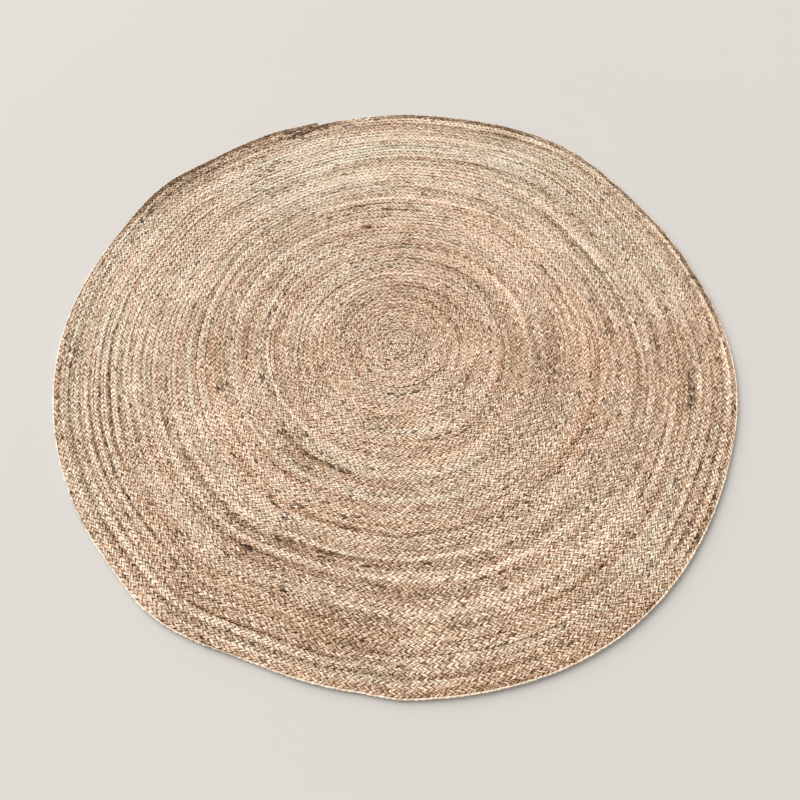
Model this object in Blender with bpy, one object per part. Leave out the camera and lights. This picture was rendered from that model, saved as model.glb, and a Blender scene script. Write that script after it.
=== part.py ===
"""Round jute rug: one flat braid wound into a disc and sewn turn to turn, about 1.2 m across.

The braid is a band of two narrow plaits side by side. It starts in a small knot at the middle and winds
outwards, clockwise seen from above. Each turn is a low rib between two sewn seams, and the underside is
flat. The free end narrows and is tucked in at the back left of the rim. The rug lies on z = 0, with its
back towards +Y.
"""

import math

import bmesh
import bpy
import numpy as np

# The braid, in metres
BRAID_WIDTH = 0.0166
BRAID_THICKNESS = 0.0070
SEAM_DEPTH = 0.0019
KNOT_HEIGHT = 0.0066

# The coil: the outermost turn ends at this angle, anticlockwise from +X
END_RADIUS = 0.608
END_ANGLE_DEG = 109.5
START_TURN = 0.5
SECTIONS_PER_TURN = 54

# The free end loses this share of its width over this angle
END_NARROWING = 0.4
END_TAPER_DEG = 10.0

# Rows along the top of a turn, from its inner seam to its outer one
# share of the width, drop from the full thickness
RIB_ROWS = (
    (0.22, 0.0001),
    (0.78, 0.0),
)

# Rows down the outer edge of the last turn
# distance outside the seam line, height above the floor
RIM_ROWS = (
    (0.0005, 0.0026),
    (-0.0012, 0.0),
)

# How the worn, hand-sewn outline leaves a true spiral: its highest and lowest places
# angle in degrees, how far it stands out
BULGES = (
    (22.0, -0.0055),
    (36.0, -0.003),
    (60.0, 0.021),
    (87.0, 0.0055),
    (106.0, -0.0035),
    (116.0, -0.010),
    (131.0, -0.0105),
    (144.0, 0.002),
    (158.0, -0.006),
    (188.0, 0.0),
    (224.0, 0.0005),
    (234.0, 0.0065),
    (252.0, -0.0115),
    (265.0, -0.008),
    (274.0, 0.0),
    (303.0, 0.0075),
    (338.0, -0.004),
    (357.0, 0.0015),
)
BULGE_START_RADIUS = 0.20

# Finish
JUTE_COLOR = (0.52, 0.37, 0.25, 1.0)
JUTE_ROUGHNESS = 0.92

OBJECT_NAME = "round_jute_rug"
SHARP_ANGLE_DEG = 60.0


def smooth(share):
    """A smooth step from 0 to 1."""
    share = np.clip(share, 0.0, 1.0)
    return share * share * (3.0 - 2.0 * share)


def bulge(angle_deg):
    """How far the outline stands out at these angles: a smooth step from each row of BULGES to the next."""
    angles = np.array([row[0] for row in BULGES])
    heights = np.array([row[1] for row in BULGES])
    angles = np.append(angles, angles[0] + 360.0)
    heights = np.append(heights, heights[0])
    turned = (np.asarray(angle_deg) - angles[0]) % 360.0 + angles[0]
    before = np.clip(np.searchsorted(angles, turned, side="right") - 1, 0, len(BULGES) - 1)
    share = (turned - angles[before]) / (angles[before + 1] - angles[before])
    return heights[before] + (heights[before + 1] - heights[before]) * smooth(share)


def coil_turns():
    """The turn count at each section of the braid, from its start near the middle to its free end."""
    last_turn = END_RADIUS / BRAID_WIDTH
    steps = int((last_turn - START_TURN) * SECTIONS_PER_TURN)
    return last_turn - np.arange(steps, -1, -1) / SECTIONS_PER_TURN


def coil_row(turns, share, height, outside=0.0):
    """Points of one row along the braid.

    The radius grows by one braid width a turn, share says where the row lies between the inner seam (0)
    and the outer one (1), and the outline's bulges fade out towards the middle.
    """
    to_end_deg = 360.0 * (turns[-1] - turns)
    angle_deg = END_ANGLE_DEG + to_end_deg
    narrowing = END_NARROWING * smooth(1.0 - to_end_deg / END_TAPER_DEG)
    radius = BRAID_WIDTH * (turns - 1.0 + share * (1.0 - narrowing))
    fade = smooth((radius - BULGE_START_RADIUS) / (END_RADIUS - BULGE_START_RADIUS))
    radius = radius + bulge(angle_deg) * fade + outside
    angle = np.radians(angle_deg)
    return np.stack(
        [radius * np.cos(angle), radius * np.sin(angle), np.full(len(turns), height)], axis=1
    )


def centred(rows):
    """The rows moved sideways, so that the rug's box has its middle on the Z axis."""
    points = np.concatenate(rows)
    middle = (points.max(axis=0) + points.min(axis=0)) / 2.0
    middle[2] = 0.0
    return [row - middle for row in rows], -middle


def add_strip(mesh, inner, outer):
    """Quads between two rows of vertices that run clockwise, the outer one farther out or lower."""
    for k in range(len(inner) - 1):
        mesh.faces.new((inner[k], inner[k + 1], outer[k + 1], outer[k]))


def coil_mesh():
    """The whole rug as one closed mesh: ribs, seams, a rounded rim, a cut end and a flat underside."""
    turns = coil_turns()
    lap = SECTIONS_PER_TURN
    seam_height = BRAID_THICKNESS - SEAM_DEPTH
    rows = [coil_row(turns, 1.0, seam_height)]
    rows += [coil_row(turns, share, BRAID_THICKNESS - drop) for share, drop in RIB_ROWS]
    rows += [coil_row(turns, 1.0, height, outside) for outside, height in RIM_ROWS]
    rows, moved = centred(rows)

    mesh = bmesh.new()
    seam = [mesh.verts.new(point) for point in rows[0]]
    ribs = [[mesh.verts.new(point) for point in row[lap:]] for row in rows[1 : 1 + len(RIB_ROWS)]]
    rim = [[mesh.verts.new(point) for point in row[-lap - 1 :]] for row in rows[1 + len(RIB_ROWS) :]]
    knot = mesh.verts.new((moved[0], moved[1], KNOT_HEIGHT))

    # The start: a low cone round the knot, which the second turn is sewn to
    for k in range(lap - 1):
        mesh.faces.new((knot, seam[k + 1], seam[k]))
    start_section = [rib[0] for rib in ribs]
    mesh.faces.new([knot, seam[0], *start_section, seam[lap], seam[lap - 1]])

    # The turns, each sewn to the one inside it
    across = [seam[:-lap], *ribs, seam[lap:]]
    for inner, outer in zip(across, across[1:]):
        add_strip(mesh, inner, outer)

    # The rim of the last turn
    down = [seam[-lap - 1 :], *rim]
    for upper, lower in zip(down, down[1:]):
        add_strip(mesh, upper, lower)

    # The cut end and the underside
    outer_edge = [row[-1] for row in reversed(down)]
    top_edge = [rib[-1] for rib in reversed(ribs)]
    inner_edge = [row[0] for row in down]
    mesh.faces.new(outer_edge + top_edge + inner_edge)
    mesh.faces.new(rim[-1])
    return mesh


def jute_material():
    """Dull, undyed jute."""
    material = bpy.data.materials.new("jute_braid")
    material.use_nodes = True
    shader = material.node_tree.nodes["Principled BSDF"]
    shader.inputs["Base Color"].default_value = JUTE_COLOR
    shader.inputs["Roughness"].default_value = JUTE_ROUGHNESS
    shader.inputs["Metallic"].default_value = 0.0
    return material


def build_rug(collection):
    """The wound braid as one object."""
    data = bpy.data.meshes.new("braided_coil")
    mesh = coil_mesh()
    mesh.to_mesh(data)
    mesh.free()
    data.materials.append(jute_material())
    data.shade_smooth()
    data.set_sharp_from_angle(angle=math.radians(SHARP_ANGLE_DEG))
    rug = bpy.data.objects.new("braided_coil", data)
    collection.objects.link(rug)
    return rug


def main():
    for thing in list(bpy.data.objects):
        bpy.data.objects.remove(thing)
    collection = bpy.data.collections.new(OBJECT_NAME)
    bpy.context.scene.collection.children.link(collection)
    build_rug(collection)


main()
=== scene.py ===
"""Round jute rug: a flat band of two three-strand jute plaits, wound into a disc and sewn turn to turn.

Every grain of the plaits is in the meshes. They follow the same coil as the solid does: the band starts in
a small knot at the middle and winds outwards, clockwise seen from above, to a free end at the back left.
All sizes are in metres.
"""

import math

import bpy
import numpy as np
from mathutils import Matrix, Vector


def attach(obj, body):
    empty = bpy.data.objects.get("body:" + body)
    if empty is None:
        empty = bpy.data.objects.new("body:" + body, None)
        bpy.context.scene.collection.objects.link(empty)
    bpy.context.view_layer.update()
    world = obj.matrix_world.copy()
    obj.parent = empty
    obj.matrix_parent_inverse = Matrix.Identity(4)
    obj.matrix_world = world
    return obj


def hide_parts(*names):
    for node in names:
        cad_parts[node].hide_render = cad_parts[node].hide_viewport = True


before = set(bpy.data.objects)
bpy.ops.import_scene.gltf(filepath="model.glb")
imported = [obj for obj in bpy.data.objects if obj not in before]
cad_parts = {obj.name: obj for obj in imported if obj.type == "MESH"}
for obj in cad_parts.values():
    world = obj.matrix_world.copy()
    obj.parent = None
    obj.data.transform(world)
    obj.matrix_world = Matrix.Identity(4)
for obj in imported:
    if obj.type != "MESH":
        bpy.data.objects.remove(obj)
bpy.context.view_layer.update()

bl_info = {
    "name": "Round Jute Rug",
    "version": (1, 0, 0),
    "blender": (4, 5, 0),
    "location": "3D View > Sidebar > Jute Rug",
    "description": "A round rug of two jute plaits side by side, wound in a coil and sewn turn to turn",
    "category": "Object",
}

BODY = "root"
SOLID = "braided_coil"

# The coil, as the solid has it. The braid is the whole band
BRAID_WIDTH = 0.0166
END_RADIUS = 0.608
END_ANGLE_DEG = 109.5
START_TURN = 0.3
KNOT_TURN = 0.5
END_NARROWING = 0.4
END_TAPER_DEG = 10.0
LAST_TURN = END_RADIUS / BRAID_WIDTH

# How the worn, hand-sewn outline leaves a true spiral
# angle in degrees, how far it stands out
BULGES = (
    (22.0, -0.0055),
    (36.0, -0.003),
    (60.0, 0.021),
    (87.0, 0.0055),
    (106.0, -0.0035),
    (116.0, -0.010),
    (131.0, -0.0105),
    (144.0, 0.002),
    (158.0, -0.006),
    (188.0, 0.0),
    (224.0, 0.0005),
    (234.0, 0.0065),
    (252.0, -0.0115),
    (265.0, -0.008),
    (274.0, 0.0),
    (303.0, 0.0075),
    (338.0, -0.004),
    (357.0, 0.0015),
)
BULGE_START_RADIUS = 0.20

# Swaying of the turns, which neighbours share and which fades out at the rim
# waves in a turn, radius from one wave to the next, how far, phase
SWAYS = (
    (3, 0.31, 0.0016, 0.4),
    (7, 0.19, 0.0009, 2.1),
    (12, 0.14, 0.0006, 4.0),
    (19, 0.061, 0.0004, 1.3),
    (31, 0.037, 0.0003, 5.2),
)
SWAY_FADE = 0.06

# The band's start, up to the knot turn, is straight, narrows and dips under the next turn. Its inner edge
# laps a little over the middle
KNOT_LAP = 0.0012
TUCK_LENGTH = 0.008
TUCK_NARROWING = 0.4
TUCK_DIP = 0.4

# What stays clear of the ends for the slant of the grains
END_MARGIN = 0.0036
LINE_POINTS = 40000

# The plaits: three strands each, whose grains lie in two columns that meet at the plait's middle
PLAITS = 2
PLAIT_WIDTH = BRAID_WIDTH / PLAITS
STRANDS = 3
COLUMNS = 2
SAMPLES = 4
TOP_HEIGHT = 0.0071

# A plait's top, from its inner edge to its outer one. The grains' tips meet on the middle row
# share of the width, drop below the crown, depth of the gaps as a share, painted shade between gaps, in the
# seams and where the tips meet
TOP_ROWS = (
    (0.012, 0.00055, 0.7, 0.05),
    (0.150, 0.00004, 1.0, 0.0),
    (0.325, 0.0, 1.0, 0.0),
    (0.500, 0.00030, 0.2, 0.4),
    (0.675, 0.00038, 1.0, 0.0),
    (0.850, 0.00045, 1.0, 0.0),
    (0.988, 0.00085, 0.7, 0.12),
)
TIP_ROW = 3
LAST_ROW = len(TOP_ROWS) - 1

# Across a grain, from one gap to the next: where its four rows of points are, and how high
GRAIN_PHASES = (0.0, 0.2, 0.5, 0.8)
GRAIN_RISE = (0.0, 0.8, 1.0, 0.8)

# How far along the plait a grain runs for each metre across it
GRAIN_SLOPE = 1.6
GRAIN_ANGLE = math.atan(1.0 / GRAIN_SLOPE)

# The rim's edge strand, which stands out beyond a groove
# distance beyond the groove, height
RIM_EDGE = (
    (0.0006, 0.0067),
    (0.0021, 0.0064),
    (0.0029, 0.0043),
    (0.0014, 0.0009),
)
# share of the width, drop below the crown, depth of the gaps, painted shade
RIM_GROOVE = (0.950, 0.0012, 0.4, 0.5)
# Where the groove's painted shade is darker than any grain in it, it meets a gap, and the edge strand gets
# this much painted shade there
DARKEST_GRAIN = 0.8
RIM_GAP_PAINTED_SHADE = 0.35

# How far under a plait its feet stand, and how its edges swell beside a grain and draw in at the gaps
FOOT_INSET = 0.0019
EDGE_SWELL = 0.00022
EDGE_PINCH = 1.2

# How uneven the grains are: pitch as a share, height, how far they slide along and shift across
PITCH_SPREAD = 0.24
LIFT_SPREAD = 0.00030
SLIDE_SPREAD = 0.00060
SHIFT_SPREAD = 0.00020
MOST_STRAY = 2.2

# How the plaits change slowly along their length
# pitches from one draw to the next, spread
PITCH_DRIFT = (14.0, 0.08)
CROWN_DRIFT = (12.0, 0.00014)
SEAM_DRIFT = (12.0, 0.6)

# Deeper seams get more painted shade: from which depth, as a share of the usual one, how fast, how far
SEAM_PAINTED_SHADE = (1.3, 1.8, 0.8)

# Slow waves in the rug's height, over the floor
WAVE_HEIGHT = 0.00030
WAVE_SIZE = 0.07
WAVE_SEED = 3

# The band is made in stretches: a short one at the middle with a fine underside, then like ones
START_TURNS = 5.5
STRETCHES = 5


def smooth(share):
    """A smooth step from 0 to 1: three squares less two cubes of the clipped share."""
    share = np.clip(share, 0.0, 1.0)
    return share * share * (3.0 - 2.0 * share)


def bulge(angle_deg):
    """How far the outline stands out: a smooth step from each row of BULGES to the next, round and round."""
    angles = np.array([row[0] for row in BULGES])
    heights = np.array([row[1] for row in BULGES])
    angles = np.append(angles, angles[0] + 360.0)
    heights = np.append(heights, heights[0])
    turned = (angle_deg - angles[0]) % 360.0 + angles[0]
    before = np.clip(np.searchsorted(angles, turned, side="right") - 1, 0, len(BULGES) - 1)
    share = (turned - angles[before]) / (angles[before + 1] - angles[before])
    return heights[before] + (heights[before + 1] - heights[before]) * smooth(share)


def sway(angle, radius):
    """A sum of sine waves in angle and radius, smoothly cut off at the middle and at the rim."""
    total = np.zeros_like(radius)
    for waves, spacing, reach, phase in SWAYS:
        total += reach * np.sin(waves * angle + 2.0 * math.pi * radius / spacing + phase)
    return total * smooth(radius / SWAY_FADE) * smooth((END_RADIUS - radius) / SWAY_FADE)


def tuck(turns):
    """How far into its tucked-in start the band is: 0 from the knot turn on, 1 where it starts."""
    return np.clip((KNOT_TURN - turns) / (KNOT_TURN - START_TURN), 0.0, 1.0)


def coil_points(turns, share):
    """Places on the coil, as x and y.

    The radius grows by one braid width a turn, from the inner seam (share 0) to the outer one (share 1).
    Both ends narrow. Bulges and swaying are added to the radius, and the angle falls by 360 degrees a turn.
    Before the knot turn the band is straight: the angle stays, and the place moves back at a right angle.
    """
    to_end_deg = 360.0 * (LAST_TURN - turns)
    narrowing = END_NARROWING * smooth(1.0 - to_end_deg / END_TAPER_DEG)
    coiled = np.maximum(turns, KNOT_TURN)
    angle_deg = END_ANGLE_DEG + 360.0 * (LAST_TURN - coiled)
    inner = np.maximum(BRAID_WIDTH * (coiled - 1.0), -KNOT_LAP)
    outer = BRAID_WIDTH * (coiled - narrowing) * (1.0 - TUCK_NARROWING * tuck(turns))
    radius = inner + share * (outer - inner)
    fade = smooth((radius - BULGE_START_RADIUS) / (END_RADIUS - BULGE_START_RADIUS))
    angle = np.radians(angle_deg)
    radius = radius + bulge(angle_deg) * fade + sway(angle, radius)
    back = TUCK_LENGTH * tuck(turns)
    x = radius * np.cos(angle) - back * np.sin(angle)
    y = radius * np.sin(angle) + back * np.cos(angle)
    return np.stack([x, y], axis=-1)


def coil_centre():
    """Where the coil's middle lies, so that the rug's box has its middle on the Z axis."""
    turns = np.linspace(LAST_TURN - 1.0, LAST_TURN, LINE_POINTS)
    rim = coil_points(turns, np.ones(LINE_POINTS))
    return -(rim.max(axis=0) + rim.min(axis=0)) / 2.0


def strays(rng, shape):
    """Normal draws, none of them far out."""
    return np.clip(rng.normal(size=shape), -MOST_STRAY, MOST_STRAY)


def wander(places, spacing, rng):
    """Smooth noise along a line: normal draws at even knots, joined by smooth steps."""
    at = places / spacing
    knots = rng.normal(size=int(at.max()) + 3)
    before = np.floor(at).astype(int)
    share = smooth(at - before)
    return knots[before] * (1.0 - share) + knots[before + 1] * share


def patches(points, size, rng):
    """Smooth noise over the floor: normal draws at the corners of even squares, joined by smooth steps."""
    at = (points + 1.0) / size
    knots = rng.normal(size=(int(2.0 / size) + 3,) * 2)
    cell = np.floor(at).astype(int)
    share = smooth(at - cell)
    x, y = cell[..., 0], cell[..., 1]
    u, v = share[..., 0], share[..., 1]
    low = knots[x, y] * (1.0 - u) + knots[x + 1, y] * u
    high = knots[x, y + 1] * (1.0 - u) + knots[x + 1, y + 1] * u
    return low * (1.0 - v) + high * v


# How the jute's colour varies. Tone goes from 0, brown, to 1, cream. Warmth is reddish above 0
TONE_MIDDLE = 0.585
# How much of its slow changes along the plait is left at the rug's middle, and where all of it is there
WANDER_AT_MIDDLE = 0.5
WANDER_FULL_AT = 0.5
# length of plait from one draw to the next, spread of tone, spread of warmth
PLAIT_WANDERS = (
    (0.70, 0.080, 0.09),
    (0.20, 0.055, 0.10),
    (0.05, 0.035, 0.10),
)
BAND_WANDERS = (
    (0.60, 0.030, 0.18),
    (0.12, 0.020, 0.12),
)
STRAND_WANDER = (0.25, 0.050, 0.12)
# distance over the floor from one draw to the next, spread of tone, spread of warmth
FLOOR_PATCHES = (
    (0.25, 0.045, 0.12),
    (0.07, 0.040, 0.10),
)
# The same for each of the band's four columns alone, which gives pale and dark lines over many turns
# size, spread of tone, share of the radius from where they set in to where all of them is there
COLUMN_PATCH = (0.26, 0.09, 0.28, 0.68)
GRAIN_SPREAD = (0.095, 0.12)
# Shares of near-black and of greyish green grains, which come in clusters, and how strong they are
FLECK_SHARE = 0.022
MOSS_SHARE = 0.012
FLECK_DEPTHS = (0.7, 1.0)
CLUSTER_SIZE = 0.035
SHARE_OUTSIDE_CLUSTERS = 0.3
# The rim's edge strand is pale: partly its own colour and partly a painted highlight where it catches the
# light
RIM_TONE_AND_HIGHLIGHT = 0.86
RIM_SPREAD = 0.12
RIM_WARMTH = -0.4

# Where strands are paler or darker, redder or greyer, or flecked. Turns are counted inwards, from a quarter
# of the band inside the rim, and angles run clockwise. Both ends of a range are smooth steps this long
STREAK_COUNT_FROM = 0.25
STREAK_EDGE_TURNS = 0.2
STREAK_EDGE_DEG = 12.0
# turns from, turns to, degrees from, degrees to, tone, warmth, share of flecks
STREAKS = (
    # whole sides of the rug
    (3, 15, 140, 5, 0.1, -0.35, 0),
    (9, 28, 175, 55, 0.08, 0, 0),
    (0, 18, 310, 230, -0.05, 0, 0),
    (0.5, 7, 225, 145, 0.08, -0.3, 0),
    (4, 7.3, 112, 55, 0.14, -0.2, 0),
    (3, 9, 155, 95, 0.06, -0.2, 0),
    (1, 14, 280, 195, -0.06, 0, 0),
    (9, 18, 150, 85, -0.04, 0, 0),
    # the last turn and the one inside it
    (0.2, 1.4, 119, 106, -0.2, 0, 0.5),
    (-0.6, 1.7, 160, 103, -0.28, 0.2, 0.15),
    (-0.6, 1, 205, 155, -0.16, 0.2, 0.08),
    (0, 1.2, 360, 315, -0.12, 0.1, 0.06),
    (0.8, 1.3, 270, 235, 0.22, 0, 0),
    (0.95, 1.3, 60, 345, 0.34, -0.3, 0),
    (1.5, 1.9, 95, 52, 0.28, -0.2, 0),
    (0.45, 1.15, 108, 2, 0, -0.7, 0.14),
    # single strands
    (1.95, 2.35, 270, 210, 0.25, -0.2, 0),
    (2.5, 2.8, 266, 210, -0.15, 0, 0),
    (2.95, 3.25, 232, 180, 0.2, -0.2, 0),
    (3.15, 3.55, 350, 240, 0.18, -0.2, 0),
    (3.45, 3.75, 215, 172, -0.14, 0, 0.05),
    (3.9, 4.2, 355, 300, -0.16, 0, 0.05),
    (3.95, 4.25, 240, 168, 0.22, -0.2, 0),
    (4.45, 4.75, 240, 172, -0.18, 0, 0.05),
    (4.85, 5.15, 214, 170, 0.22, -0.1, 0),
    (5.35, 5.75, 212, 170, -0.22, 0, 0.08),
    (5.85, 6.25, 212, 170, 0.26, -0.1, 0),
    (5.95, 6.35, 316, 278, -0.2, 0, 0.05),
    (6.65, 6.95, 208, 163, -0.16, 0, 0),
    (6.65, 7.05, 352, 290, 0.2, -0.2, 0),
    (7.1, 7.45, 352, 320, -0.22, 0, 0.1),
    (8.25, 8.65, 212, 170, 0.26, -0.1, 0),
    (8.7, 9.05, 208, 168, -0.22, 0, 0.05),
    (9.25, 9.55, 214, 172, 0.16, 0, 0),
    (9.65, 9.95, 0, 325, -0.2, 0, 0),
    (11.15, 11.55, 266, 246, 0.28, -0.1, 0),
    (3.9, 4.4, 233, 227, -0.2, 0, 0.6),
    (4.3, 4.8, 340, 300, 0.1, -1, 0),
    (4.7, 5.4, 360, 346, -0.1, -0.4, 0.35),
    (10.9, 12.2, 265, 240, -0.2, 0.3, 0.08),
    (13.3, 13.8, 270, 170, 0.18, -0.1, 0),
    (14, 17.2, 30, 300, -0.09, 0.25, 0),
    (14.7, 15.2, 165, 60, 0.18, 0, 0),
    (14.8, 15.3, 270, 200, -0.22, 0.6, 0),
    (16.3, 16.8, 42, 22, -0.22, -0.4, 0.3),
    (18.8, 19.3, 110, 101, -0.15, 0, 0.5),
    (20.2, 20.7, 260, 220, -0.2, -0.6, 0.15),
    (22, 22.7, 120, 50, -0.15, -0.3, 0.05),
    (23.8, 24.3, 72, 55, -0.22, 0.2, 0.2),
    (24.2, 24.6, 312, 288, -0.15, 0, 0.3),
    (24.8, 25.6, 20, 330, -0.08, 0.7, 0),
    (28.2, 28.6, 347, 323, -0.15, 0, 0.3),
    (29.5, 30, 90, 0, -0.14, 0.2, 0),
    (30.2, 30.7, 320, 200, -0.1, -0.9, 0.08),
    (30.7, 31.2, 240, 180, -0.08, 0.8, 0),
    (32.3, 33.3, 360, 180, 0.1, 0, 0),
)

# The same for the last turn's outer plait alone, which is dark at the back: partly the strands' own colour
# and partly painted shade
# degrees from, degrees to, tone of the rim's edge, of the outer column, of the inner one
RIM_SHADES = (
    (166, 98, -0.5, -0.55, -0.3),
    (104, 58, -0.4, -0.45, -0.45),
    (64, 2, -0.25, -0.45, -0.4),
    (8, 335, 0, -0.2, -0.1),
)


def sector(turns, start_deg, end_deg):
    """1 between two angles, taken clockwise, and 0 elsewhere, with a smooth step at both."""
    angle_deg = END_ANGLE_DEG + 360.0 * (LAST_TURN - turns)
    span = (start_deg - end_deg) % 360.0
    after = (start_deg - angle_deg) % 360.0
    edge = min(STREAK_EDGE_DEG, span / 3.0)
    return smooth(after / edge) * smooth((span - after) / edge)


class Plait:
    """One plait, pitch by pitch: where its grains lie, how each one strays and what colour it has."""

    def __init__(self, settings, lane):
        rng = np.random.default_rng((settings.seed, lane))
        self.lane = lane
        self.relief = settings.relief
        self.interlock = settings.interlock
        self.centre = coil_centre()
        self.line_turns = np.linspace(START_TURN, LAST_TURN, LINE_POINTS)
        middle = coil_points(self.line_turns, np.full(LINE_POINTS, (lane + 0.5) / PLAITS))
        steps = np.linalg.norm(np.diff(middle, axis=0), axis=1)
        self.line_lengths = np.append(0.0, np.cumsum(steps))
        usable = self.line_lengths[-1] - 2.0 * END_MARGIN
        self.pitches = round(usable / settings.grain_pitch)

        knots, spread = PITCH_DRIFT
        uneven = 1.0 + PITCH_SPREAD * strays(rng, self.pitches)
        uneven = uneven + spread * wander(np.arange(self.pitches), knots, rng)
        self.starts = END_MARGIN + usable * np.append(0.0, np.cumsum(uneven)) / uneven.sum()

        grains = (self.pitches + 2, COLUMNS)
        self.lift = strays(rng, grains) * LIFT_SPREAD
        self.slide = strays(rng, grains) * SLIDE_SPREAD
        self.slip = strays(rng, grains) * SLIDE_SPREAD
        self.shift = strays(rng, grains) * SHIFT_SPREAD
        pitch = np.arange(self.pitches + 2)
        knots, spread = CROWN_DRIFT
        self.crown = spread * wander(pitch, knots, rng)
        knots, spread = SEAM_DRIFT
        self.seams = 1.0 + spread * np.stack([wander(pitch, knots, rng) for _ in range(COLUMNS)], axis=1)
        self.colour_grains(grains, rng, settings.seed)

    def reach(self, pitch):
        """Length along the plait's middle at which a pitch begins, also between whole pitches."""
        return np.interp(pitch, np.arange(self.pitches + 1), self.starts)

    def turn_pitch(self, turns):
        """The pitch that begins nearest before a place on the coil."""
        length = np.interp(turns, self.line_turns, self.line_lengths)
        return int(np.clip(np.searchsorted(self.starts, length) - 1, 0, self.pitches))

    def place(self, length, across):
        """Places on the floor for lengths along the plait and distances across it."""
        turns = np.interp(length, self.line_lengths, self.line_turns)
        return coil_points(turns, (self.lane * PLAIT_WIDTH + across) / BRAID_WIDTH) + self.centre

    def colour_grains(self, grains, rng, seed):
        """Tone, warmth and flecks of every grain.

        Tone and warmth are each a sum of slow noise along the plait, of slow noise along each of its
        strands, of noise along the band and over the floor, which both plaits share, of the streaks and
        the rim's shades, and of a draw for each grain. Tone also has noise for each column of the band.
        A grain is a fleck where a draw is under the share of flecks there, and mossy where it is that
        near to 1.
        """
        pitch, column = np.meshgrid(np.arange(grains[0]), np.arange(grains[1]), indexing="ij")
        length = self.reach(pitch + 0.5 - 0.5 * column)
        points = self.place(length, (column + 0.5) * PLAIT_WIDTH / COLUMNS)
        strand = (pitch + column) % STRANDS
        shared = np.random.default_rng(seed)
        along = length[:, :1]
        # Length of band wound up to there, as a disc's area over the band's width: the same for both plaits
        both = math.pi * BRAID_WIDTH * np.interp(along, self.line_lengths, self.line_turns) ** 2

        looks = np.zeros((2, *grains))
        for at, source, wanders in ((along, rng, PLAIT_WANDERS), (both, shared, BAND_WANDERS)):
            for spacing, *spreads in wanders:
                looks += np.stack([spread * wander(at, spacing, source) for spread in spreads])
        spacing, *spreads = STRAND_WANDER
        for k in range(STRANDS):
            changes = np.stack([spread * wander(along, spacing, rng) for spread in spreads])
            looks += np.where(strand == k, changes, 0.0)
        outwards = np.linalg.norm(points - self.centre, axis=-1) / END_RADIUS
        looks[0] *= WANDER_AT_MIDDLE + (1.0 - WANDER_AT_MIDDLE) * smooth(outwards / WANDER_FULL_AT)
        for size, *spreads in FLOOR_PATCHES:
            looks += np.stack([spread * patches(points, size, shared) for spread in spreads])
        size, spread, inner, outer = COLUMN_PATCH
        for k in range(PLAITS * COLUMNS):
            lines = spread * patches(points, size, shared) * smooth((outwards - inner) / (outer - inner))
            looks[0] += lines * (COLUMNS * self.lane + column == k)
        looks += np.stack([spread * strays(rng, grains) for spread in GRAIN_SPREAD])

        flecks = FLECK_SHARE * self.clusters(points, shared)
        for share, tone, warmth, flecked in self.streaks(length):
            looks += np.stack([tone * share, warmth * share])
            flecks = flecks + flecked * share
        edge_tone = np.zeros(grains[0])
        for edge, outer, inner, share in self.rim_shades(length):
            edge_tone = edge_tone + edge * share[:, -1]
            looks[0] += np.array([inner, outer]) * share
        moss = MOSS_SHARE * self.clusters(points, shared)
        draw = rng.random(size=grains)
        depth = rng.uniform(*FLECK_DEPTHS, size=grains)
        self.fleck = np.where(draw < flecks, depth, np.where(draw > 1.0 - moss, -depth, 0.0))
        self.tone = TONE_MIDDLE + looks[0]
        self.warmth = looks[1]
        # The edge strand's tone, with its painted highlight, and painted shade at the back from RIM_SHADES
        self.rim_tone_and_highlight = RIM_TONE_AND_HIGHLIGHT + edge_tone + RIM_SPREAD * strays(rng, grains[0])

    def clusters(self, points, rng):
        """How likely flecks are: a low level, and the square of patches over the floor where positive."""
        return SHARE_OUTSIDE_CLUSTERS + np.clip(patches(points, CLUSTER_SIZE, rng), 0.0, 2.0) ** 2

    def streaks(self, length):
        """For each row of STREAKS, how far each length is in it, with smooth ends, and what it changes."""
        turns = np.interp(length, self.line_lengths, self.line_turns)
        across = (self.lane + (np.arange(COLUMNS) + 0.5) / COLUMNS) / PLAITS
        inwards = LAST_TURN - turns + 1.0 - across - STREAK_COUNT_FROM
        for first, last, start_deg, end_deg, *changes in STREAKS:
            over = (inwards - first) / STREAK_EDGE_TURNS
            under = (last - inwards) / STREAK_EDGE_TURNS
            share = smooth(over + 0.5) * smooth(under + 0.5) * sector(turns, start_deg, end_deg)
            yield share, *changes

    def rim_shades(self, length):
        """For each row of RIM_SHADES, what it changes and how far each length of the last turn is in it."""
        turns = np.interp(length, self.line_lengths, self.line_turns)
        outermost = (turns > LAST_TURN - 1.0) * (self.lane == PLAITS - 1)
        for start_deg, end_deg, *changes in RIM_SHADES:
            yield *changes, outermost * sector(turns, start_deg, end_deg)


def edge_swell(rise):
    """How far a plait's edge stands out where a grain rises by that share: twice it, less the pinch."""
    return EDGE_SWELL * (2.0 * rise - EDGE_PINCH)


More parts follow.
